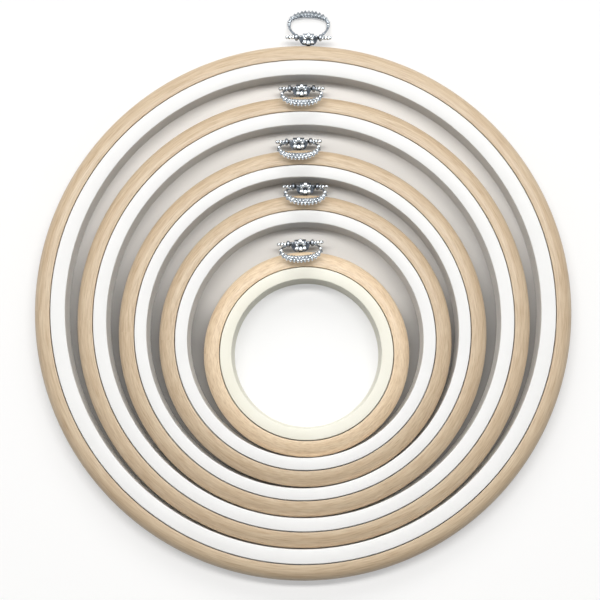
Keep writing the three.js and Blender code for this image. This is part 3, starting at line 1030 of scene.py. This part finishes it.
def world():
    """A dim room for the light that reaches the object. The camera sees it white, and metal sees it pale."""
    made = bpy.data.worlds.new("studio")
    bpy.context.scene.world = made
    made.use_nodes = True
    tree = made.node_tree
    background = tree.nodes["Background"]
    background.inputs["Color"].default_value = (*ROOM_COLOUR, 1)
    path = add_node(tree, "ShaderNodeLightPath", -700, 0)
    for_metal = add_node(tree, "ShaderNodeMath", -450, 0, operation="MULTIPLY_ADD")
    for_metal.inputs[1].default_value = SKY_IN_METAL
    for_metal.inputs[2].default_value = ROOM_LIGHT
    tree.links.new(path.outputs["Is Glossy Ray"], for_metal.inputs[0])
    strength = larger(tree, path.outputs["Is Camera Ray"], for_metal.outputs[0], -250, 0)
    strength = larger(tree, strength, path.outputs["Is Transmission Ray"], -100, 0)
    tree.links.new(strength, background.inputs["Strength"])


# Assembly


def hoop_place(frame, number):
    """A hoop's centre, its turn in degrees and its outer radius, from the solids and the bail's hinge."""
    low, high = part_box(f"inner_ring_{number}")
    centre = (low + high) / 2
    centre.z = 0
    hinge = next(j for j in frame["joints"] if j["name"] == f"bail_hinge_{number}")
    bar = Vector(hinge["pos_m"]) - centre
    bar.z = 0
    turn = math.degrees(math.atan2(-bar.x, bar.y))
    return centre, turn, bar.length / MM - BAR_STAND_OFF


def place_on_hoop(piece, centre, turn, distance):
    """Turns a piece with its hoop and moves it to the hoop, a distance in millimetres from its centre."""
    piece.matrix_world = (
        Matrix.Translation(centre)
        @ Matrix.Rotation(math.radians(turn), 4, "Z")
        @ Matrix.Translation((0, distance * MM, 0))
    )
    return apply_transform(piece)


def place_rings(number, centre, turn, radius, grain, wood):
    """One hoop's two rings. The smallest hoop has the warmer plastic and the lighter vinyl."""
    if number == HOOP_COUNT:
        plastic = moulded_plastic("ivory_plastic", centre, IVORY_PLASTIC, grain)
        vinyl = grained_vinyl(f"wood_vinyl_{number}", centre, wood, SMALLEST_VINYL_TONE)
    else:
        plastic = moulded_plastic(f"white_plastic_{number}", centre, WHITE_PLASTIC, grain)
        vinyl = grained_vinyl(f"wood_vinyl_{number}", centre, wood, VINYL_TONE)

    inner = give(inner_ring(radius, FACE_WIDTHS[number - 1]), plastic)
    inner.name = f"moulded_inner_ring_{number}"
    place_on_hoop(inner, centre, turn, 0)
    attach(inner, f"inner_{number}")
    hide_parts(f"inner_ring_{number}")

    outer = give(outer_ring(radius), vinyl)
    outer.name = f"grained_outer_ring_{number}"
    place_on_hoop(outer, centre, turn, 0)
    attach(outer, f"outer_{number}")
    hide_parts(f"outer_ring_{number}")


def place_hanger(number, centre, turn, radius, patterns):
    """One hoop's casting, bar and bail. The largest hoop's bail lies, the others are folded over."""
    base, bar, loop = (copy_of(pattern) for pattern in patterns)
    base.name = f"shell_and_crown_{number}"
    bar.name = f"twisted_bar_{number}"
    loop.name = f"wreath_bail_{number}"
    angle = LYING_ANGLE if number == 1 else FOLDED_ANGLE
    moved(loop, 0, BAR_STAND_OFF, BAR_HEIGHT, turn=(angle, 0, 0))
    for piece, node, body in (
        (base, f"hanger_base_{number}", f"outer_{number}"),
        (bar, f"hinge_bar_{number}", f"outer_{number}"),
        (loop, f"bail_{number}", f"bail_{number}"),
    ):
        place_on_hoop(piece, centre, turn, radius)
        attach(piece, body)
        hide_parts(node)


def main():
    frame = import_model()
    camera()

    grain = surface_grain_group()
    wood = wood_grain_group()
    bright = cast_metal("bright_cast_metal", BRIGHT_METAL, roughness=0.2, grain=grain)
    # The grey and the dark metal are the same casting in painted shade
    grey = cast_metal("shaded_grey_cast_metal", SHADED_GREY_METAL, roughness=0.3, grain=grain)
    dark = cast_metal("painted_shade_dark_metal", SHADE_DARK_METAL, roughness=0.45, grain=grain)

    patterns = (hanger_base(bright, grey, dark), hinge_bar(bright), bail(bright, grey))
    for number in range(1, HOOP_COUNT + 1):
        centre, turn, radius = hoop_place(frame, number)
        place_rings(number, centre, turn, radius, grain, wood)
        place_hanger(number, centre, turn, radius, patterns)
        give(frame["nodes"][f"fixing_screw_{number}"], bright)
    for pattern in patterns:
        bpy.data.objects.remove(pattern)

    floor(hoop_place(frame, 1)[0], hoop_place(frame, HOOP_COUNT)[0])
    world()
    lights()
    bpy.context.scene.view_settings.view_transform = "Standard"


main()
